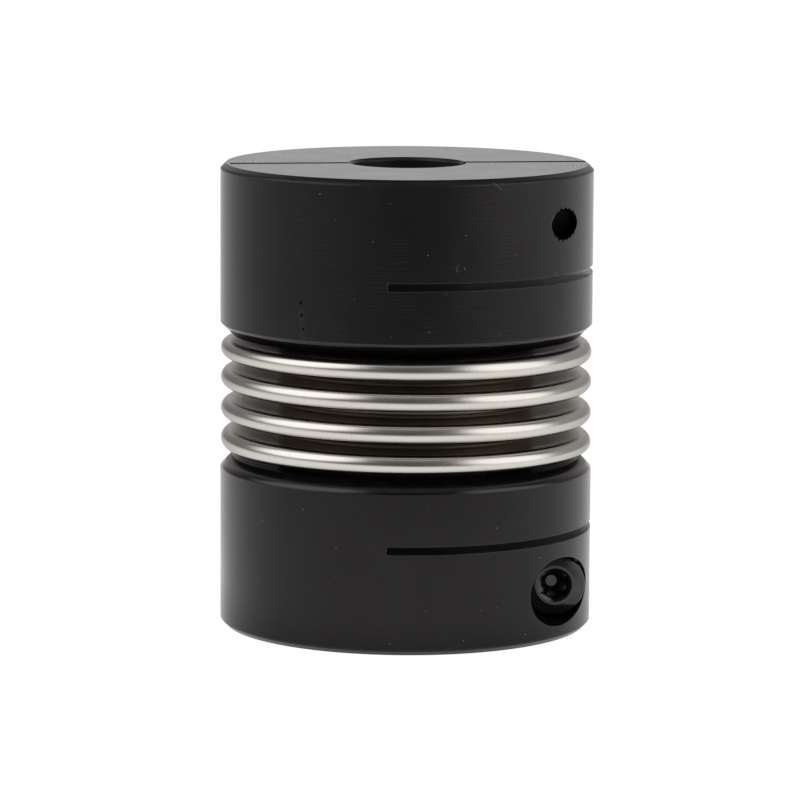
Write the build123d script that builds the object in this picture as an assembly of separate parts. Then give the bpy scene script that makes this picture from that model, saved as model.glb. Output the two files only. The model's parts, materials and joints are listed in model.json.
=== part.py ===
from build123d import *
import math
import os

# Bellows shaft coupling: two clamp hubs joined by a four-wave metal bellows, millimetres.
# +Z runs along the shaft axis, and the origin is the centre of the lower hub's end face.
# The saw slits open towards +X. The lower screw's head faces -Y, and the upper one's faces +Y.

# Hubs: turned aluminium, both alike.
hub_diameter = 33.3
hub_length = 15.25
bore_diameter = 10.0
bore_chamfer = 0.25
face_chamfer = 0.5       # at the end face
throat_chamfer = 1.05    # at the bellows' end

# Clamp: a slit along the hub's diameter, and a cross slit that frees both jaws.
saw_radius = 31.5
slit_width = 1.0
slit_reach = 15.85       # from the axis to where the slit runs out of the end face
cross_slit_width = 0.7
cross_slit_reach = 3.55  # past the axis, measured on the hub's outside
jaw_length = 8.9         # from the end face to the cross slit

# Bellows: thin stainless tube, formed into waves, with a plain cuff at each end.
crest_inset = 0.05       # radial, from the hubs' outline to the crests
bellows_wall = 0.25
wave_count = 4
wave_pitch = 2.7
crest_gap = 1.0          # between neighbouring crests, top to bottom
root_radius = 0.45       # of the groove's floor
cuff_diameter = 22.6
cuff_length = 3.0        # of the cuff that sits inside the hub
end_gap = 0.1            # between the first wave's root and the hub
bond_gap = 0.05          # adhesive line round the cuff

# Clamp screw: M3 socket head cap screw, 12 long, fully threaded.
thread_diameter = 3.0
thread_pitch = 0.5
thread_play = 0.02       # radial, between the drawn thread and its hole
screw_length = 12.0
screw_tip_chamfer = 0.35
head_diameter = 5.5
head_height = 3.0
head_rounding = 0.3
hex_across_flats = 2.5
hex_depth = 1.9
hex_tip_angle = 120.0    # cone that the punch leaves at the socket's bottom
screw_inset = 4.15       # of the screw's axis, from the hub's outline
seat_distance = 4.9      # from the slit's middle to the head's seat
head_clearance = 0.3     # radial, in the counterbore
shank_clearance = 0.2    # radial, in the through hole

# Worked out from the sizes above.
hub_radius = hub_diameter / 2
bore_radius = bore_diameter / 2
cuff_radius = cuff_diameter / 2
bellows_radius = hub_radius - crest_inset
crest_radius = (wave_pitch - crest_gap) / 2
hub_spacing = wave_count * wave_pitch + 2 * end_gap
coupling_length = 2 * hub_length + hub_spacing
screw_offset = hub_radius - screw_inset  # from the hub's axis
screw_height = jaw_length / 2
# A fine thread is drawn as a plain cylinder at its pitch diameter, on the screw and in the hub.
drawn_thread_radius = (thread_diameter - 0.6495 * thread_pitch) / 2


def along_y(radius, start, end):
    """Cylinder on the screw's axis between two distances along Y."""
    axis_point = Pos(screw_offset, (start + end) / 2, screw_height)
    return axis_point * Rot(90, 0, 0) * Cylinder(radius, abs(end - start))


def hub_blank():
    """Turned blank: chamfered disc with the shaft's bore and the recess for the bellows' cuff."""
    recess_radius = cuff_radius + bond_gap
    recess_floor = hub_length - cuff_length
    with BuildPart() as blank:
        with BuildSketch(Plane.XZ):
            Polygon(
                (bore_radius + bore_chamfer, 0),
                (hub_radius - face_chamfer, 0),
                (hub_radius, face_chamfer),
                (hub_radius, hub_length - throat_chamfer),
                (hub_radius - throat_chamfer, hub_length),
                (recess_radius, hub_length),
                (recess_radius, recess_floor),
                (bore_radius, recess_floor),
                (bore_radius, bore_chamfer),
                align=None,
            )
        revolve(axis=Axis.Z)
    return blank.part


def clamp_slit():
    """Saw cut on the XZ plane: it runs out of the face at -X and leaves the hub at +X."""
    depth = jaw_length + cross_slit_width / 2
    half_chord = math.sqrt(saw_radius**2 - (saw_radius - depth) ** 2)
    stop_x = half_chord - slit_reach
    blade = Rot(90, 0, 0) * Cylinder(saw_radius, slit_width)
    feed_length = hub_radius + saw_radius
    feed = Box(
        feed_length, slit_width, depth, align=(Align.MIN, Align.CENTER, Align.MIN)
    )
    return Pos(stop_x, 0, depth - saw_radius) * blade + Pos(stop_x, 0, 0) * feed


def cross_slit():
    """Saw cut across the axis: its round floor meets the outside at cross_slit_reach."""
    half_chord = math.sqrt(hub_radius**2 - cross_slit_reach**2)
    stop_x = math.sqrt(saw_radius**2 - half_chord**2) - cross_slit_reach
    height = jaw_length + cross_slit_width / 2
    return Pos(stop_x, 0, height) * Cylinder(saw_radius, cross_slit_width)


def screw_holes():
    """Counterbore and through hole in the front jaw, tapped hole in the rear one."""
    counterbore = along_y(head_diameter / 2 + head_clearance, -hub_diameter, -seat_distance)
    through = along_y(thread_diameter / 2 + shank_clearance, -seat_distance, 0)
    tapped = along_y(drawn_thread_radius + thread_play, 0, hub_diameter)
    return counterbore + through + tapped


def hub():
    """Clamp hub with its end face on Z = 0 and the screw's head towards -Y."""
    return hub_blank() - clamp_slit() - cross_slit() - screw_holes()


def clamp_screw():
    """Socket head cap screw in its seat, head towards -Y."""
    hex_radius = hex_across_flats / 2
    cone_height = hex_radius / math.tan(math.radians(hex_tip_angle / 2))
    with BuildPart() as screw:
        with BuildSketch(Plane.XY):
            Circle(head_diameter / 2)
        extrude(amount=head_height)
        fillet(screw.faces().sort_by(Axis.Z)[-1].edges(), head_rounding)
        with BuildSketch(Plane.XY):
            Circle(drawn_thread_radius)
        extrude(amount=-screw_length)
        chamfer(screw.faces().sort_by(Axis.Z)[0].edges(), screw_tip_chamfer)
        with BuildSketch(Plane.XY.offset(head_height)):
            RegularPolygon(hex_radius, 6, major_radius=False)
        extrude(amount=-hex_depth, mode=Mode.SUBTRACT)
        with Locations((0, 0, head_height - hex_depth)):
            Cone(
                0,
                hex_radius,
                cone_height,
                align=(Align.CENTER, Align.CENTER, Align.MAX),
                mode=Mode.SUBTRACT,
            )
    return Pos(screw_offset, -seat_distance, screw_height) * Rot(90, 0, 0) * screw.part


def bellows_outline(depth):
    """Edges of the bellows' outline at a depth under its outer surface, lower cuff first."""
    crest_centre = bellows_radius - crest_radius
    root_centre = cuff_radius + root_radius
    # Each flank is the inner tangent of a crest's circle and a groove's circle.
    fall = crest_centre - root_centre
    reach = math.hypot(fall, wave_pitch / 2)
    lean = math.acos((crest_radius + root_radius) / reach)
    crest_end = 180 - math.degrees(math.atan2(wave_pitch / 2, fall) + lean)
    root_end = 180 - crest_end
    crest_arc = crest_radius - depth
    root_arc = root_radius + depth
    wall_radius = cuff_radius - depth
    first_root = hub_length + end_gap
    last_root = first_root + wave_count * wave_pitch
    edges = [Line((wall_radius, hub_length - cuff_length), (wall_radius, first_root))]
    for wave in range(wave_count):
        root = Vector(root_centre, first_root + wave * wave_pitch)
        crest = Vector(crest_centre, root.Y + wave_pitch / 2)
        next_root = root + Vector(0, wave_pitch)
        leaves_root = CenterArc(root, root_arc, 180, root_end - 180)
        rounds_crest = CenterArc(crest, crest_arc, -crest_end, 2 * crest_end)
        meets_root = CenterArc(next_root, root_arc, -root_end, root_end - 180)
        edges += [
            leaves_root,
            Line(leaves_root @ 1, rounds_crest @ 0),
            rounds_crest,
            Line(rounds_crest @ 1, meets_root @ 0),
            meets_root,
        ]
    top = coupling_length - hub_length + cuff_length
    return edges + [Line((wall_radius, last_root), (wall_radius, top))]


def bellows():
    """Formed tube: round crests and grooves joined by tangent flanks, revolved about Z."""
    outside = bellows_outline(0)
    inside = bellows_outline(bellows_wall)
    ends = [Line(outside[0] @ 0, inside[0] @ 0), Line(outside[-1] @ 1, inside[-1] @ 1)]
    section = make_face(outside + inside + ends)
    return revolve(Plane.XZ * section, Axis.Z)


def at_upper_end(lower_piece):
    """The same piece turned half round about X, on the other end of the coupling."""
    return Pos(0, 0, coupling_length) * Rot(180, 0, 0) * lower_piece


lower_hub = hub()
lower_clamp_screw = clamp_screw()
pieces = {
    "lower_hub": lower_hub,
    "lower_clamp_screw": lower_clamp_screw,
    "bellows": bellows(),
    "upper_hub": at_upper_end(lower_hub),
    "upper_clamp_screw": at_upper_end(lower_clamp_screw),
}

os.makedirs("parts", exist_ok=True)
for name, piece in pieces.items():
    export_step(piece, os.path.join("parts", name + ".step"))
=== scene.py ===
import json
import math

import bpy
import numpy as np
from mathutils import Matrix, Vector

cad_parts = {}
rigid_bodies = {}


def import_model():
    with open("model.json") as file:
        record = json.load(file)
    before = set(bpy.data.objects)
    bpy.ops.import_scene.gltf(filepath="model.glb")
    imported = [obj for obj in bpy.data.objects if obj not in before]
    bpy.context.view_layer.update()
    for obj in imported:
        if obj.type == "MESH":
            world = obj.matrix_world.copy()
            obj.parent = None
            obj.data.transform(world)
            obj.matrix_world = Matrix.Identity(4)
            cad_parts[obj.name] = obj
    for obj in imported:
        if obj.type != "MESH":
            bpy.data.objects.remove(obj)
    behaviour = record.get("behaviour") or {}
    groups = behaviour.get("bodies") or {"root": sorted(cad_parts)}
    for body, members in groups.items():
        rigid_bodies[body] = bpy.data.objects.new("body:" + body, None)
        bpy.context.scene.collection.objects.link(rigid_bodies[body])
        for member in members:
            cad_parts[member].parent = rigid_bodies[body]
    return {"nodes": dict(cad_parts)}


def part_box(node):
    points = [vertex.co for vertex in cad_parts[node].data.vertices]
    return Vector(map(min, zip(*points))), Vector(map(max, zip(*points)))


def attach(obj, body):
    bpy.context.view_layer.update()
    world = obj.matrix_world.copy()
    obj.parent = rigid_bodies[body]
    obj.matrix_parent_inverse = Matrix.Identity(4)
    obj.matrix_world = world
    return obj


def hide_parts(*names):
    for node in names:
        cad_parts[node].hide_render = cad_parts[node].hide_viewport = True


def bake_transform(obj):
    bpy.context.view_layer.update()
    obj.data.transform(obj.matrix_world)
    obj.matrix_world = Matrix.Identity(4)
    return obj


# Bellows coupling: black anodised clamp hubs, a bright steel bellows and blackened clamp screws.
# Lengths are in metres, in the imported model's frame: +Z along the shaft, slits open towards +X.

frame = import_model()
for leftover in [o for o in bpy.data.objects if o.name in ("Cube", "Light", "Camera")]:
    bpy.data.objects.remove(leftover)
bpy.context.view_layer.update()
print("frame loaded:", ", ".join(sorted(frame["nodes"])))

mm = 0.001
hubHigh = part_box("lower_hub")[1]
topLow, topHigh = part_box("upper_hub")
hubRadius = hubHigh.x
couplingLength = topHigh.z
jawLength = 8.9 * mm  # from each end face to the cross slit
crossSlitWidth = 0.7 * mm
studioTurn = math.radians(-6.75)  # the studio's front is this far round from -Y


class Wire:
    # a node socket that takes part in Python expressions

    def __init__(self, plan, socket):
        self.plan, self.socket = plan, socket

    def __add__(self, other):
        return self.plan.maths("ADD", self, other)

    def __radd__(self, other):
        return self.plan.maths("ADD", other, self)

    def __sub__(self, other):
        return self.plan.maths("SUBTRACT", self, other)

    def __rsub__(self, other):
        return self.plan.maths("SUBTRACT", other, self)

    def __mul__(self, other):
        return self.plan.maths("MULTIPLY", self, other)

    def __rmul__(self, other):
        return self.plan.maths("MULTIPLY", other, self)

    def __truediv__(self, other):
        return self.plan.maths("DIVIDE", self, other)

    def __abs__(self):
        return self.plan.maths("ABSOLUTE", self)


class Plan:
    # one node tree, with the few kinds of step that the finishes need

    def __init__(self, tree):
        self.tree = tree
        self.tree.nodes.clear()

    def add(self, kind, settings=None, inputs=None, output=0):
        # settings go in first, then the values or wires of the sockets
        made = self.tree.nodes.new(kind)
        for name, value in (settings or {}).items():
            if name == "stops":
                self.setStops(made.color_ramp, value)
            else:
                setattr(made, name, value)
        for name, value in (inputs or {}).items():
            if isinstance(value, Wire):
                self.tree.links.new(value.socket, made.inputs[name])
            else:
                made.inputs[name].default_value = value
        return Wire(self, made.outputs[output]) if made.outputs else made

    def setStops(self, ramp, stops):
        while len(ramp.elements) < len(stops):
            ramp.elements.new(0.5)
        for element, (place, level) in zip(ramp.elements, stops):
            element.position = place
            element.color = (level, level, level, 1)

    def maths(self, operation, *values):
        return self.add("ShaderNodeMath", {"operation": operation}, dict(enumerate(values)))

    def larger(self, first, second):
        return self.maths("MAXIMUM", first, second)

    def length(self, first, second):
        # square root of the sum of both squares
        return self.maths("SQRT", first * first + second * second)

    def smooth(self, value, start, end):
        # 0 before start, 1 after end, eased between them
        return self.add("ShaderNodeMapRange", {"interpolation_type": "SMOOTHSTEP"},
                        {"Value": value, "From Min": start, "From Max": end})

    def ramp(self, value, stops):
        return self.add("ShaderNodeValToRGB", {"stops": stops}, {0: value})

    def blend(self, share, first, second):
        # numbers: first where share is 0, second where it is 1
        return self.add("ShaderNodeMix", {"data_type": "FLOAT"},
                        {"Factor": share, "A": first, "B": second})

    def tint(self, share, first, second):
        # colours, the same way round
        return self.add("ShaderNodeMix", {"data_type": "RGBA"}, {0: share, 6: first, 7: second}, 2)

    def mixVector(self, share, first, second):
        return self.add("ShaderNodeMix", {"data_type": "VECTOR"}, {0: share, 4: first, 5: second}, 1)

    def clamp(self, value):
        return self.add("ShaderNodeClamp", None, {0: value})

    def stroke(self, across, up, start, end, width):
        # 1 on a line from start to end in the plane of two wires, 0 beyond its width
        reach = (end[0] - start[0], end[1] - start[1])
        square = max(reach[0] ** 2 + reach[1] ** 2, 1e-12)
        along = self.clamp(((across - start[0]) * reach[0] + (up - start[1]) * reach[1]) / square)
        offAcross = across - start[0] - along * reach[0]
        offUp = up - start[1] - along * reach[1]
        return 1 - self.smooth(self.length(offAcross, offUp), width * 0.35, width)

    def split(self, vector):
        made = self.add("ShaderNodeSeparateXYZ", None, {0: vector})
        return [Wire(self, s) for s in made.socket.node.outputs]

    def join(self, x, y, z):
        return self.add("ShaderNodeCombineXYZ", None, {0: x, 1: y, 2: z})

    def noise(self, vector, scale, detail=2.0, roughness=0.5):
        return self.add("ShaderNodeTexNoise", None, {
            "Vector": vector, "Scale": scale, "Detail": detail, "Roughness": roughness})


def newMaterial(name):
    made = bpy.data.materials.new(name)
    made.use_nodes = True
    return made, Plan(made.node_tree)


def objectPlace(plan):
    # the point on the piece, in metres, and its three parts
    place = plan.add("ShaderNodeTexCoord", None, None, 3)
    return place, plan.split(place)


def surfaceMesh(name, radius, height, angles, place):
    # Point (row i, column j) lies at place(radius[i, j], height[i, j], angles[j]).
    # Columns close round the axis. Rows close too, unless the first and last radius are 0:
    # those rows are poles, each one point with a fan of triangles.
    rows, columns = radius.shape
    poles = bool(np.all(radius[0] == 0) and np.all(radius[-1] == 0))
    points = place(radius, height, np.broadcast_to(angles, radius.shape)).reshape(-1, 3)
    number = np.arange(rows * columns).reshape(rows, columns)
    if poles:
        number[0, :] = 0
        number[1:-1] = 1 + np.arange((rows - 2) * columns).reshape(rows - 2, columns)
        number[-1, :] = 1 + (rows - 2) * columns
        points = np.concatenate([points[:1], points[columns:-columns], points[-1:]])
        lower, upper = number[:-1], number[1:]
    else:
        lower, upper = number, np.roll(number, -1, axis=0)
    nextLower, nextUpper = np.roll(lower, -1, axis=1), np.roll(upper, -1, axis=1)
    quads = np.stack([lower, nextLower, nextUpper, upper], axis=-1)
    middle = (quads[1:-1] if poles else quads).reshape(-1, 4)
    parts = [quads[0][:, [0, 2, 3]], middle, quads[-1][:, [0, 1, 2]]] if poles else [middle]
    corners = points[middle]
    swept = np.cross(corners[:, 2] - corners[:, 0], corners[:, 3] - corners[:, 1])
    if np.einsum("ij,ij->", corners.mean(axis=1) - points.mean(axis=0), swept) < 0:
        parts = [part[:, ::-1] for part in parts]  # now they point outwards
    faces = [face for part in parts for face in part.tolist()]
    mesh = bpy.data.meshes.new(name)
    mesh.from_pydata(points.tolist(), [], faces)
    mesh.polygons.foreach_set("use_smooth", np.ones(len(faces), bool))
    mesh.set_sharp_from_angle(angle=math.radians(38))
    mesh.update()
    piece = bpy.data.objects.new(name, mesh)
    bpy.context.scene.collection.objects.link(piece)
    return piece


def roundZ(radius, height, angles):
    # about the coupling's axis
    return np.stack([radius * np.cos(angles), radius * np.sin(angles), height], axis=-1)


def fullTurn(columns):
    return np.linspace(0, 2 * math.pi, columns, endpoint=False)


threadSizes = {
    "pitch": 0.5 * mm,
    "minorRadius": 1.23 * mm,
    "wallRadius": 1.40 * mm,  # just inside the hole's drawn wall
    "outerRadius": 1.46 * mm,
    "start": 6.4 * mm,  # behind the screw's tip
    "rim": 0.02 * mm,  # the ridge ends this far under the hub's outside
    "phase": 0.35,  # of a turn, where the thread starts
    "columns": 96,
}
screwLow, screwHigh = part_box("lower_clamp_screw")
holeOffset, holeHeight = (screwLow.x + screwHigh.x) / 2, (screwLow.z + screwHigh.z) / 2

anodising = {
    "colour": (0.0045, 0.0038, 0.0042, 1),
    "sheen": (1.0, 0.93, 0.98, 1),
    "ior": 1.31,
    "roughness": 0.17,
    "sawnRoughness": 0.36,
    "turnedRoughness": 0.3,  # of both turned edges
    "polishedRoughness": 0.15,
    "polish": (0.036, 0.0345, 0.0355, 1),  # the share that the bellows' end edges mirror
    "faceEdge": 0.5 * mm,  # width of the turned edge at the end face
    "throatEdge": 1.05 * mm,  # and at the bellows
    # lighter edge tone: rubbed anodise, and a painted edge highlight
    "edge": (0.10, 0.098, 0.096, 1),
    "edgeRounding": 0.08 * mm,
    "worn": (0.013, 0.012, 0.0125, 1),
    "lineHeight": 0.0012 * mm,  # of the turning lines
    "linesPerMetre": 2900.0,
    "wander": 3.5,  # the lines drift by up to so many of their steps
    "lineWear": 0.42,
    "rubWear": 0.8,
    "sawnCoat": 0.5,
    "dust": (0.5, 0.49, 0.48, 1),
    "specksPerMetre": 620.0,
    "speckChance": 0.86,  # only cells whose own number is over this hold a speck
    "speckCover": 0.75,
    "markCover": 0.11,
    "slitHalfWidth": 0.5 * mm,
    "boreRadius": 5.3 * mm,  # with the bore's edge
    # small marks: where each starts and ends (degrees from -Y, height in millimetres), its width
    "darkMarks": (((-40.16, 30.62), (-40.1, 30.52), 0.15), ((-39.83, 29.54), (-39.8, 29.44), 0.16),
                  ((-39.2, 28.34), (-39.2, 28.26), 0.14)),
    "lightMarks": (((19.85, 41.2), (22.58, 40.54), 0.07), ((8.7, 34.18), (8.05, 33.88), 0.06),
                   ((8.05, 33.88), (8.5, 33.6), 0.06)),
    "rub": ((-39.9, 29.7), (-39.4, 27.1), 0.42),
}


def marksMask(plan, turn, z, marks):
    # 1 on any of the marks
    total = 0.0
    for (fromTurn, fromHeight), (toTurn, toHeight), width in marks:
        start = (math.radians(fromTurn) * hubRadius, fromHeight * mm)
        end = (math.radians(toTurn) * hubRadius, toHeight * mm)
        total = plan.larger(plan.stroke(turn * hubRadius, z, start, end, width * mm), total)
    return total


def turningLines(plan, x, y, across):
    # A sine of the distance across the lines, whose phase wanders, and the patches where it shows.
    patches = plan.noise(plan.join(x * 260.0, y * 260.0, across * 200.0), 1.0, 2.0)
    wander = plan.noise(plan.join(x * 200.0, y * 200.0, across * 900.0), 1.0, 2.0)
    steps = across * anodising["linesPerMetre"] + wander * anodising["wander"]
    lines = plan.maths("SINE", steps * (2 * math.pi)) * 0.5 + 0.5
    return lines, plan.smooth(patches, 0.38, 0.6)


def sawnFaces(plan, y, z, normal, facing):
    # 1 on both faces of each cross slit, and 1 on both walls of the slits through the bore
    half = crossSlitWidth / 2
    crossFaces = 0.0
    for middle in (jawLength + half, couplingLength - jawLength - half):
        band = 1 - plan.smooth(abs(z - middle), half + 0.05 * mm, half + 0.1 * mm)
        crossFaces = plan.larger(band * facing, crossFaces)
    half = anodising["slitHalfWidth"]
    walls = 1 - plan.smooth(abs(y), half + 0.02 * mm, half + 0.06 * mm)
    return crossFaces, walls * plan.smooth(abs(normal[1]), 0.9, 0.95)


def dustSpecks(plan, spread):
    # a small disc in the middle of a few cells, each of its own size
    cells = plan.add("ShaderNodeTexVoronoi", {"voronoi_dimensions": "2D"},
                     {"Vector": spread, "Scale": anodising["specksPerMetre"]})
    numbers = plan.split(Wire(plan, cells.socket.node.outputs["Color"]))
    size = 0.012 + numbers[1] * 0.02
    chosen = plan.smooth(numbers[0], anodising["speckChance"], anodising["speckChance"] + 0.01)
    return (1 - plan.smooth(cells, size * 0.6, size)) * chosen


def turnedEdges(plan, x, y, z, radius, normal):
    # The hub's outer turned edges shade as quarter rounds: cos(rise of the normal) = 1 - share
    # of the edge's width. Gives where they are, where they are polished, and that normal.
    steep = abs(normal[2])
    turned = plan.smooth(steep, 0.5, 0.6) * (1 - plan.smooth(steep, 0.8, 0.9))
    turned = turned * plan.smooth(radius, hubRadius - 1.3 * mm, hubRadius - 1.2 * mm)
    atFace = plan.smooth(abs(z - couplingLength / 2), 12 * mm, 13 * mm)
    width = plan.blend(atFace, anodising["throatEdge"], anodising["faceEdge"])
    inset = plan.clamp((hubRadius - radius) / width)
    outwards = 1 - inset
    rise = plan.maths("SQRT", 1 - outwards * outwards) * plan.maths("SIGN", normal[2])
    rounded = plan.add("ShaderNodeVectorTransform", {
        "vector_type": "NORMAL", "convert_from": "OBJECT", "convert_to": "WORLD"},
        {0: plan.join(outwards * x / radius, outwards * y / radius, rise)})
    atThroat = 1 - atFace
    polished = turned * atThroat * (1 - plan.smooth(inset, 0.35, 0.6))
    return turned, polished, atThroat, rounded


def threadTeeth(plan, x, y, z):
    # Where the thread breaks out of the round outside, its groove is painted as dark teeth, painted shade
    # of the groove's notches:
    # the groove's radius is a triangle wave of (distance / pitch - angle / 360).
    upperEnd = plan.maths("GREATER_THAN", z, couplingLength / 2)
    up = plan.blend(upperEnd, z, couplingLength - z) - holeHeight
    deep = plan.blend(upperEnd, y, 0 - y)
    aside = x - holeOffset
    turns = deep / threadSizes["pitch"] - plan.maths("ARCTAN2", aside, up) / (2 * math.pi)
    phase = plan.maths("FRACT", turns + 10 + threadSizes["phase"])
    groove = threadSizes["outerRadius"] + 0.06 * mm - abs(phase - 0.5) * 0.5 * mm
    teeth = 1 - plan.smooth(plan.length(aside, up) - groove, -0.03 * mm, 0.02 * mm)
    return teeth * plan.smooth(deep, 5 * mm, 6 * mm) * plan.smooth(aside, -0.9 * mm, -0.4 * mm)


def anodisedAluminium():
    # near-black and glossy, with broken turning lines round the axis, sawn slits and a little dust
    made, plan = newMaterial("anodisedAluminium")
    a = anodising
    place, (x, y, z) = objectPlace(plan)
    radius = plan.length(x, y)
    plain = plan.add("ShaderNodeNewGeometry", None, None, 1)
    normal = plan.split(plain)
    facing = plan.smooth(abs(normal[2]), 0.6, 0.8)  # 1 on what lies square to the axis
    turn = plan.maths("ARCTAN2", x, 0 - y)
    spread = plan.join(plan.blend(facing, turn * hubRadius, x), plan.blend(facing, z, y), 0.0)
    across = plan.blend(facing, z, radius)  # along the axis on the side, outwards on a face
    lines, patches = turningLines(plan, x, y, across)
    crossFaces, slitWalls = sawnFaces(plan, y, z, normal, facing)
    speck = dustSpecks(plan, spread)
    turned, polished, atThroat, rounded = turnedEdges(plan, x, y, z, radius, normal)
    inBore = (1 - plan.smooth(radius, a["boreRadius"], a["boreRadius"] + 0.2 * mm)) * (1 - facing)
    cloud = plan.noise(place, 240.0, 3.0)

    rub = marksMask(plan, turn, z, (a["rub"],)) * a["rubWear"]
    # lighter tone from the turning lines and the rub, and painted light on the bore's wall
    wearAndBoreLight = plan.clamp(lines * patches * a["lineWear"] + rub + inBore)
    colour = plan.tint(wearAndBoreLight, a["colour"], a["worn"])
    marks = marksMask(plan, turn, z, a["lightMarks"]) * a["markCover"]
    colour = plan.tint(plan.larger(speck * a["speckCover"], marks), colour, a["dust"])
    # edges are lightened where the rounded normal leaves the plain one: rubbed anodise, and a painted edge
    # highlight
    edges = plan.add("ShaderNodeBevel", {"samples": 6}, {"Radius": a["edgeRounding"]})
    match = plan.add("ShaderNodeVectorMath", {"operation": "DOT_PRODUCT"}, {0: edges, 1: plain}, 1)
    colour = plan.tint(plan.smooth(match, 0.99, 0.85) * (1 - slitWalls), colour, a["edge"])
    colour = plan.tint(polished, colour, a["polish"])

    rough = a["roughness"] + (cloud - 0.5) * 0.1 + (lines - 0.5) * patches * 0.1 + speck * 0.4
    sawn = plan.larger(plan.larger(crossFaces, slitWalls), inBore)
    rough = plan.blend(sawn, rough, a["sawnRoughness"])
    edgeRough = plan.blend(polished, a["turnedRoughness"], a["polishedRoughness"])
    rough = plan.blend(turned, rough, edgeRough)

    edges = plan.mixVector(slitWalls, edges, plain)
    edges = plan.mixVector(turned, edges, rounded)
    lathed = 0.1 + patches + atThroat * plan.larger(turned, facing)
    bump = plan.add("ShaderNodeBump", None, {
        "Strength": 1.0, "Distance": a["lineHeight"], "Height": lines * lathed, "Normal": edges})
    shader = plan.add("ShaderNodeBsdfPrincipled", None, {
        "Base Color": colour, "Roughness": rough, "IOR": a["ior"], "Normal": bump,
        "Specular Tint": a["sheen"], "Metallic": polished,
        "Coat Weight": crossFaces * a["sawnCoat"], "Coat Roughness": 0.08})
    # black on the real dark marks, and painted shade where the thread's groove breaks out
    darkMarksAndToothShade = plan.larger(threadTeeth(plan, x, y, z), marksMask(plan, turn, z, a["darkMarks"]))
    black = plan.add("ShaderNodeBsdfDiffuse", None, {"Color": (0.002, 0.002, 0.002, 1)})
    shader = plan.add("ShaderNodeMixShader", None, {0: darkMarksAndToothShade, 1: shader, 2: black})
    plan.add("ShaderNodeOutputMaterial", None, {"Surface": shader})
    return made


steel = {
    "bright": (0.525, 0.503, 0.468, 1),
    # painted shade: the grooves' darker, warmer tone
    "warmGrooveShade": (0.41, 0.36, 0.305, 1),
    "flank": (0.14, 0.11, 0.085, 1),  # painted shade between the waves
    "grain": (0.3, 0.29, 0.27, 1),
    "grazing": (0.7, 0.69, 0.68, 1),
    "roughness": 0.21,
    "drawLineHeight": 0.0012 * mm,
    "grainHeight": 0.0028 * mm,
}


def stainlessSteel():
    # bright formed sheet: faint drawing lines round the waves, with painted shade that makes the grooves
    # darker and warmer and the flanks between the waves browner
    made, plan = newMaterial("stainlessSteel")
    place, (x, y, z) = objectPlace(plan)
    radius = plan.length(x, y)
    groove = 1 - plan.smooth(radius, hubRadius - 2.6 * mm, hubRadius - 0.5 * mm)
    draw = plan.noise(plan.join(x * 90.0, y * 90.0, (z + radius) * 5200.0), 1.0, 3.0, 0.6)
    cloud = plan.noise(place, 320.0, 3.0)
    # painted shade: darker and warmer towards the grooves
    colour = plan.tint(groove + (cloud - 0.5) * 0.2, steel["bright"], steel["warmGrooveShade"])
    rough = steel["roughness"] + groove * 0.1 + (draw - 0.5) * 0.10 + (cloud - 0.5) * 0.06
    turn = plan.maths("ARCTAN2", x, 0 - y) * hubRadius
    grain = plan.noise(plan.join(turn * 9000.0, z * 2200.0, radius * 2200.0), 1.0, 2.0)
    dents = plan.noise(place, 260.0, 2.0)
    colour = plan.tint(plan.smooth(grain, 0.42, 0.2) * 0.3, colour, steel["grain"])
    # painted shade: the flanks between the waves are darkened towards brown
    flank = plan.smooth(radius, 11.6 * mm, 12.1 * mm) * (1 - plan.smooth(radius, 15 * mm, 16 * mm))
    colour = plan.tint(flank * 0.45, colour, steel["flank"])
    bump = plan.add("ShaderNodeBump", None, {
        "Strength": 1.0, "Distance": steel["drawLineHeight"], "Height": draw})
    bump = plan.add("ShaderNodeBump", None, {
        "Strength": 1.0, "Distance": steel["grainHeight"],
        "Height": grain + dents * 6.0, "Normal": bump})
    shader = plan.add("ShaderNodeBsdfPrincipled", None, {
        "Base Color": colour, "Metallic": 1.0, "Roughness": rough, "Normal": bump,
        "Specular Tint": steel["grazing"]})
    plan.add("ShaderNodeOutputMaterial", None, {"Surface": shader})
    return made


blackening = {
    "colour": (0.012, 0.0125, 0.0125, 1),
    "worn": (0.13, 0.125, 0.12, 1),
    "roughness": 0.19,
    "tipRoughness": 0.65,
    "socketRougher": 0.42,
}


def blackenedSteel():
    # black oxide, greyer where the key and the thread have rubbed
    made, plan = newMaterial("blackenedSteel")
    place, (x, y, z) = objectPlace(plan)
    upperEnd = plan.maths("GREATER_THAN", z, couplingLength / 2)
    cloud = plan.noise(place, 900.0, 4.0, 0.6)
    rubbed = plan.smooth(cloud, 0.55, 0.75)
    colour = plan.tint(rubbed * 0.25, blackening["colour"], blackening["worn"])
    normal = plan.split(plan.add("ShaderNodeNewGeometry", None, None, 1))
    up = plan.blend(upperEnd, z, couplingLength - z) - holeHeight
    inside = 1 - plan.smooth(plan.length(x - holeOffset, up), 1.5 * mm, 1.6 * mm)
    socketWall = (1 - plan.smooth(abs(normal[1]), 0.3, 0.4)) * inside
    tip = plan.smooth(plan.blend(upperEnd, y, 0 - y), 6.6 * mm, 6.8 * mm)
    rough = blackening["roughness"] + (cloud - 0.5) * 0.1
    rough = plan.blend(tip, rough, blackening["tipRoughness"]) + socketWall * blackening["socketRougher"]
    bump = plan.add("ShaderNodeBump", None, {
        "Strength": 0.6, "Distance": 0.0008 * mm, "Height": cloud})
    shader = plan.add("ShaderNodeBsdfPrincipled", None, {
        "Base Color": colour, "Roughness": rough, "IOR": 1.5, "Normal": bump})
    plan.add("ShaderNodeOutputMaterial", None, {"Surface": shader})
    return made


hubFinish = anodisedAluminium()
bellowsFinish = stainlessSteel()
screwFinish = blackenedSteel()
for node in ("lower_hub", "upper_hub"):
    frame["nodes"][node].material_slots[0].material = hubFinish
print("finishes made")

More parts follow.
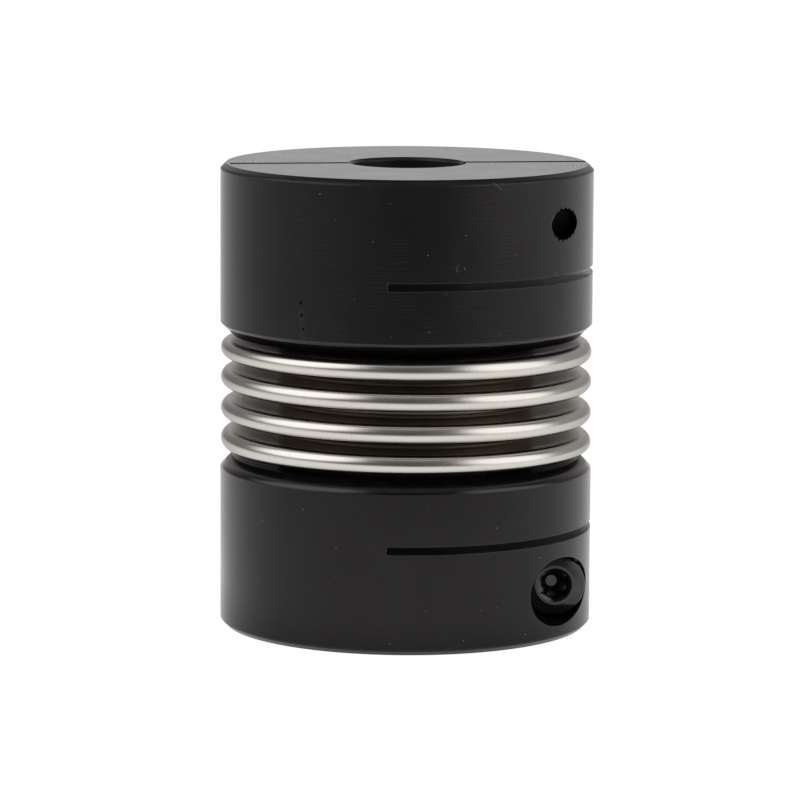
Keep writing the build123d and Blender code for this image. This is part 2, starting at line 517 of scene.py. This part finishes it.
bellowsSizes = {
    "waves": 4,
    "wall": 0.25 * mm,
    "endGap": 0.1 * mm,
    "crestRadius": 0.85 * mm,
    "neck": 0.08 * mm,  # each side of a wave draws in by this much behind the crest
    "neckDepth": 1.0 * mm,
    "grooveFloor": 11.3 * mm,
    "columns": 208,
    # the formed waves are a little uneven: each crest's own shift, and the lean that they share
    "shifts": (-0.035 * mm, -0.045 * mm, 0.06 * mm, 0.035 * mm),
    "lean": 0.14 * mm,
    "highSide": 173.0,  # degrees from +X
}


def halfWave(outer, pitch):
    # From the crest's top to the groove's floor, outwards radius and height over the crest.
    # Crest: a half circle. Flank: it draws in with depth, as 1 - exp(-(depth / neck's depth) squared).
    # Groove: a quarter circle whose radius fills the rest of the half pitch.
    s = bellowsSizes
    crest, neck = s["crestRadius"], s["neck"]
    over = np.linspace(0, math.pi / 2, 15)
    fromRadius = outer - crest
    groove = pitch / 2 - crest + neck
    depth = np.linspace(0, 1, 11)[1:] ** 1.3 * (fromRadius - s["grooveFloor"] - groove)
    under = np.linspace(0, math.pi / 2, 6)[1:]
    radius = np.concatenate([
        outer - crest + crest * np.cos(over), fromRadius - depth,
        s["grooveFloor"] + groove - groove * np.sin(under)])
    height = np.concatenate([
        crest * np.sin(over), crest - neck * (1 - np.exp(-(depth / s["neckDepth"]) ** 2)),
        pitch / 2 - groove * np.cos(under)])
    return radius, height


def waveOutline():
    # the outer surface's profile, lower cuff first
    s = bellowsSizes
    low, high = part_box("bellows")
    firstRoot = hubHigh.z + s["endGap"]
    pitch = (topLow.z - hubHigh.z - 2 * s["endGap"]) / s["waves"]
    radius, height = halfWave(high.x, pitch)
    oneRadius = np.concatenate([radius[::-1], radius[1:-1]])
    oneHeight = np.concatenate([-height[::-1], height[1:-1]])
    crests = firstRoot + pitch * (np.arange(s["waves"]) + 0.5) + np.array(s["shifts"])
    radius = np.tile(oneRadius, s["waves"])
    height = np.add.outer(crests, oneHeight).ravel()
    floor = s["grooveFloor"]
    lastRoot = firstRoot + pitch * s["waves"]
    return (np.concatenate([[floor, floor], radius, [floor, floor, floor]]),
            np.concatenate([[low.z, hubHigh.z], height, [lastRoot, topLow.z, high.z]]))


def bellowsSkin():
    outRadius, outHeight = waveOutline()
    # the inner surface lies one wall behind the outer one, square to it
    alongRadius, alongHeight = np.gradient(outRadius), np.gradient(outHeight)
    step = np.hypot(alongRadius, alongHeight) / bellowsSizes["wall"]
    inRadius = outRadius - alongHeight / step
    inHeight = outHeight + alongRadius / step
    inHeight[[0, -1]] = outHeight[[0, -1]]
    radius = np.concatenate([outRadius, inRadius[::-1]])[:, None]
    height = np.concatenate([outHeight, inHeight[::-1]])[:, None]
    angles = fullTurn(bellowsSizes["columns"])
    full = np.ones((1, len(angles)))
    # lean: eased in between the hub and the first crest, and out again at the last one
    fromEnd = np.minimum(height - hubHigh.z, topLow.z - height) / (1.4 * mm)
    share = np.clip(fromEnd - 0.1, 0, 1)
    share = share * share * (3 - 2 * share)
    lean = bellowsSizes["lean"] * np.cos(angles - math.radians(bellowsSizes["highSide"]))
    piece = surfaceMesh("bellows_skin", radius * full, height + share * lean, angles, roundZ)
    piece.data.materials.append(bellowsFinish)
    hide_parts("bellows")
    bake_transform(piece)
    print("bellows made:", len(piece.data.polygons), "faces")


bellowsSkin()


screwSizes = {
    "pitch": 0.5 * mm,
    "crestRadius": 1.49 * mm,
    "rootRadius": 1.21 * mm,
    "tipRadius": 1.1 * mm,
    "headHeight": 3.0 * mm,
    "headRounding": 0.22 * mm,
    "shoulder": 1.78 * mm,  # the head's face is flat to here, and falls away to the rim
    "fall": math.radians(17),
    "flat": 1.25 * mm,  # from the socket's middle to a flat
    "socketDepth": 1.9 * mm,
    "punchRadius": 0.52 * mm,
    "mouthRadius": 1.5 * mm,
    "knurls": 36,
    "knurlDepth": 0.05 * mm,
    "columns": 216,
}


def turnedOver(points):
    # the upper end is the lower end turned half round about X
    return points * np.array([1, -1, -1]) + np.array([0, 0, couplingLength])


def headRows(headRadius, angles):
    # Pairs of radius and height, from the socket's bottom over the head's face and rim and down
    # its knurled side to the neck. The hexagon's radius is flat / cos(angle from the flat's middle).
    s = screwSizes
    ones = np.ones(len(angles))
    hexagon = s["flat"] / np.cos(np.mod(angles, math.pi / 3) - math.pi / 6)
    top, punch, mouth = s["headHeight"], s["punchRadius"], s["mouthRadius"]
    floor = top - s["socketDepth"]
    coneFloor = floor - (s["flat"] - punch) * math.tan(math.radians(30))
    rows = [
        (0 * ones, coneFloor * ones),
        (punch * 0.96 * ones, coneFloor * ones),
        (punch * ones, (coneFloor + 0.02 * mm) * ones),
        (s["flat"] * 0.97 * ones, floor * ones),
        (hexagon * 0.995, (floor + 0.03 * mm) * ones),
        (hexagon, (floor + 0.1 * mm) * ones),
        (hexagon, top - 0.06 * mm - (mouth - hexagon) * 0.55),
        (mouth * ones, (top - 0.03 * mm) * ones),
        (1.02 * mouth * ones, top * ones),
    ]
    fall, shoulder, rounding = s["fall"], s["shoulder"], s["headRounding"]
    rimTop = top - (headRadius - rounding - shoulder) * math.tan(fall) - rounding / math.cos(fall)
    for past in (-0.03 * mm, 0.03 * mm):
        rows.append(((shoulder + past) * ones, (top - max(past, 0) * math.tan(fall)) * ones))
    for t in np.linspace(fall, math.pi / 2, 7):
        edge = headRadius - rounding + rounding * math.sin(t)
        rows.append((edge * ones, (rimTop + rounding * math.cos(t)) * ones))
    knurl = s["knurlDepth"] * (0.5 - 0.5 * np.cos(s["knurls"] * angles))
    for share, depth in ((0.78, 0), (0.74, 1), (0.5, 1), (0.16, 1), (0.12, 0)):
        rows.append((headRadius - knurl * depth, share * top * ones))
    return rows + [
        ((headRadius - 0.04 * mm) * ones, 0.06 * mm * ones),
        ((headRadius - 0.16 * mm) * ones, 0.01 * mm * ones),
        (1.7 * mm * ones, 0.01 * mm * ones),
        (1.52 * mm * ones, -0.1 * mm * ones),
    ]


def threadRows(length, angles):
    # Pairs of radius and height down the thread to the tip.
    # The radius is a clipped triangle wave of (distance down / pitch - angle / 360).
    s = screwSizes
    ones = np.ones(len(angles))
    down = np.arange(0.3 * mm, length - 0.3 * mm, s["pitch"] / 10)[:, None]
    phase = np.mod(down / s["pitch"] - angles / (2 * math.pi), 1)
    ridge = np.clip(1.16 - 2.32 * np.abs(2 * phase - 1), 0, 1)
    fade = np.clip((length - 0.25 * mm - down) / (0.5 * mm), 0, 1)
    radius = s["rootRadius"] + (s["crestRadius"] - s["rootRadius"]) * ridge * fade
    return list(zip(radius, -down * ones)) + [
        ((s["rootRadius"] - 0.02 * mm) * ones, -(length - 0.25 * mm) * ones),
        (s["tipRadius"] * ones, -length * ones),
        (0 * ones, -length * ones),
    ]


def clampScrew(node, body, upper):
    # Height is measured from the head's seat, towards the head. Angle 0 is +Z, 90 degrees is +X.
    low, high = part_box(node)
    middleX, middleZ = (low.x + high.x) / 2, (low.z + high.z) / 2
    if upper:
        middleZ = couplingLength - middleZ
    headTop = -high.y if upper else low.y  # along Y, on the lower screw
    seat = headTop + screwSizes["headHeight"]
    length = high.y - low.y - screwSizes["headHeight"]
    angles = fullTurn(screwSizes["columns"])
    rows = headRows((high.x - low.x) / 2, angles) + threadRows(length, angles)
    radius = np.array([r for r, h in rows])
    height = np.array([h for r, h in rows])

    def place(r, h, a):
        points = np.stack([middleX + r * np.sin(a), seat - h, middleZ + r * np.cos(a)], axis=-1)
        return turnedOver(points) if upper else points

    piece = surfaceMesh(node + "_detailed", radius, height, angles, place)
    piece.data.materials.append(screwFinish)
    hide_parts(node)
    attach(piece, body)
    print(node, "made:", len(piece.data.polygons), "faces")


clampScrew("lower_clamp_screw", "lower_end", False)
clampScrew("upper_clamp_screw", "upper_end", True)


def tappedThread(name, body, upper):
    # A closed sleeve in the hole's wall: its inner radius is a triangle wave of
    # (distance / pitch - angle / 360), and each column ends on the hub's round outside.
    s = threadSizes
    angles = fullTurn(s["columns"])
    share = np.linspace(0, 1, 121)[:, None]
    mouthX = holeOffset + s["minorRadius"] * np.sin(angles)
    mouth = np.sqrt((hubRadius - s["rim"]) ** 2 - mouthX ** 2)
    along = s["start"] + share * (mouth - s["start"])
    phase = np.mod(along / s["pitch"] - angles / (2 * math.pi) + s["phase"], 1)
    ridge = np.clip(1.2 - 2.4 * np.abs(2 * phase - 1), 0, 1)
    inner = s["wallRadius"] - (s["wallRadius"] - s["minorRadius"]) * ridge
    outer = np.full((2, len(angles)), s["outerRadius"])
    radius = np.concatenate([inner, outer])
    height = np.concatenate([along, mouth[None] - 0.2 * mm, along[:1]])

    def place(r, h, a):
        points = np.stack([holeOffset + r * np.sin(a), h, holeHeight + r * np.cos(a)], axis=-1)
        return turnedOver(points) if upper else points

    piece = surfaceMesh(name, radius, height, angles, place)
    piece.data.materials.append(hubFinish)
    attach(piece, body)
    print(name, "made")


tappedThread("lower_tapped_thread", "lower_end", False)
tappedThread("upper_tapped_thread", "upper_end", True)


studio = {
    "floorRadius": 450 * mm,
    "floorColour": (0.9, 0.9, 0.9, 1),
    "fadeFrom": 35 * mm,  # the near table's light turns into the far table's
    "fadeTo": 230 * mm,
    "shade": 0.28,  # the table is this much darker close to the coupling
    "shadeFrom": 17 * mm,
    "shadeTo": 34 * mm,
    # two soft lamps: (turn, half width, rise, half height) in degrees, and brightness
    "lamps": ((-76.0, 45.0, 40.0, 34.0, 1.92), (72.0, 35.0, 24.0, 38.0, 1.78)),
    "overhead": 0.46,
    "upperFront": 0.18,
}
# brightness round the horizon: the first number runs from behind, past the left, the front
# at 0.5 and the right, and round to behind again
farTable = [(0.0, 1.0), (0.056, 0.82), (0.1, 0.85), (0.14, 0.87), (0.2, 0.9), (0.26, 0.93), (0.32, 0.9),
            (0.38, 0.75), (0.44, 0.56), (0.5, 0.44), (0.56, 0.54), (0.61, 0.82), (0.68, 1.05), (0.75, 1.12),
            (0.83, 1.1), (0.88, 1.0), (0.92, 0.9), (0.944, 0.84), (1.0, 1.0)]
nearTable = [(0.0, 0.9), (0.08, 0.95), (0.16, 1.15), (0.24, 1.27), (0.5, 1.27), (0.72, 1.28),
             (0.8, 1.12), (0.92, 0.94), (1.0, 0.9)]
aboveHorizon = [(0.0, 0.71), (0.03, 0.6), (0.08, 0.33), (0.14, 0.25), (0.2, 0.3), (0.42, 0.2),
                (0.5, 0.12), (0.58, 0.2), (0.8, 0.4), (0.86, 0.45), (0.92, 0.5), (0.97, 0.58), (1.0, 0.71)]
brightest = 1.3  # ramps hold shares of this


def roundHorizon(plan, place):
    # where a direction lies round the horizon, 0.5 being the studio's front, and its own height
    turned = plan.add("ShaderNodeMapping", None, {"Vector": place, "Rotation": (0, 0, -studioTurn)})
    x, y, z = plan.split(turned)
    return plan.maths("ARCTAN2", x, 0 - y) / (2 * math.pi) + 0.5, z


def levels(plan, around, stops):
    # the brightness that the stops give there
    shares = [(at, level / brightest) for at, level in stops]
    return plan.ramp(around, shares) * brightest


def paleFloor():
    # a disc: each point of its rim lies at floorRadius * (cos, sin) of its angle
    angles = fullTurn(96)
    rim = np.stack([np.cos(angles), np.sin(angles), 0 * angles], axis=-1) * studio["floorRadius"]
    mesh = bpy.data.meshes.new("floor")
    mesh.from_pydata(rim.tolist(), [], [list(range(len(rim)))])
    floor = bpy.data.objects.new("floor", mesh)
    bpy.context.scene.collection.objects.link(floor)
    made, plan = newMaterial("paleFloor")
    place, (x, y, z) = objectPlace(plan)
    around, height = roundHorizon(plan, place)
    distance = plan.length(x, y)
    fade = plan.smooth(distance, studio["fadeFrom"], studio["fadeTo"])
    glowing = plan.blend(fade, levels(plan, around, nearTable), levels(plan, around, farTable))
    underneath = 1 - plan.smooth(distance, studio["shadeFrom"], studio["shadeTo"])
    glowing = glowing * (1 - studio["shade"] * underneath)
    rays = plan.add("ShaderNodeLightPath").socket.node.outputs
    seen = Wire(plan, rays["Is Camera Ray"])
    mirrored = Wire(plan, rays["Is Glossy Ray"])
    through = Wire(plan, rays["Is Transmission Ray"])
    matt = plan.add("ShaderNodeBsdfDiffuse", None, {"Color": studio["floorColour"]})
    glow = plan.add("ShaderNodeEmission", None, {
        "Color": (1, 1, 1, 1), "Strength": (seen + through) * 1.07 + mirrored * glowing})
    share = seen * 0.9 + mirrored + through
    shader = plan.add("ShaderNodeMixShader", None, {0: share, 1: matt, 2: glow})
    plan.add("ShaderNodeOutputMaterial", None, {"Surface": shader})
    mesh.materials.append(made)


def softSurround():
    # White behind, dim straight ahead and overhead, a soft lamp to each side.
    # The camera sees plain white.
    world = bpy.data.worlds.new("softSurround")
    bpy.context.scene.world = world
    world.use_nodes = True
    plan = Plan(world.node_tree)
    direction = plan.add("ShaderNodeTexCoord", None, None, 0)
    around, z = roundHorizon(plan, direction)
    rise = plan.maths("ARCSINE", z) * (180 / math.pi)
    level = plan.blend(plan.smooth(rise, -2.5, 1.5),
                       levels(plan, around, farTable), levels(plan, around, aboveHorizon))
    level = plan.blend(plan.smooth(rise, 28.0, 46.0), level, studio["upperFront"])
    level = plan.blend(plan.smooth(rise, 52.0, 72.0), level, studio["overhead"])
    for turn, halfWidth, lift, halfHeight, brightness in studio["lamps"]:
        sideways = (around - 0.5 - turn / 360) * (360 / halfWidth)
        upwards = (rise - lift) / halfHeight
        lit = 1 - plan.smooth(plan.length(sideways, upwards), 0.6, 1.25)
        level = plan.blend(lit, level, brightness)
    dim = plan.add("ShaderNodeBackground", None, {"Color": (1, 1, 1, 1), "Strength": level})
    white = plan.add("ShaderNodeBackground", None, {"Color": (1, 1, 1, 1), "Strength": 1.0})
    seen = plan.add("ShaderNodeLightPath")
    shader = plan.add("ShaderNodeMixShader", None, {0: seen, 1: dim, 2: white})
    plan.add("ShaderNodeOutputWorld", None, {"Surface": shader})


cameraSizes = {
    "distance": 419.5 * mm,
    "pitch": 8.32,  # degrees downwards
    "roll": 0.31,
    "aim": Vector((-0.53 * mm, 0, 20.09 * mm)),  # before the turn
    "lens": 210.16,
}


def setCamera():
    s = cameraSizes
    made = bpy.data.cameras.new("camera")
    made.lens = s["lens"]
    made.sensor_width = 36.0
    made.clip_start = 0.01
    camera = bpy.data.objects.new("camera", made)
    bpy.context.scene.collection.objects.link(camera)
    pitch = math.radians(s["pitch"])
    turn = Matrix.Rotation(studioTurn, 4, "Z")
    back = Vector((0, -math.cos(pitch), math.sin(pitch)))
    spot = Matrix.Translation(s["aim"] + back * s["distance"])
    tilt = Matrix.Rotation(math.pi / 2 - pitch, 4, "X")
    roll = Matrix.Rotation(math.radians(s["roll"]), 4, "Z")
    camera.matrix_world = turn @ spot @ tilt @ roll
    bpy.context.scene.camera = camera


paleFloor()
softSurround()
setCamera()
bpy.context.scene.view_settings.view_transform = "Standard"
print("studio and camera set")

bpy.context.view_layer.update()
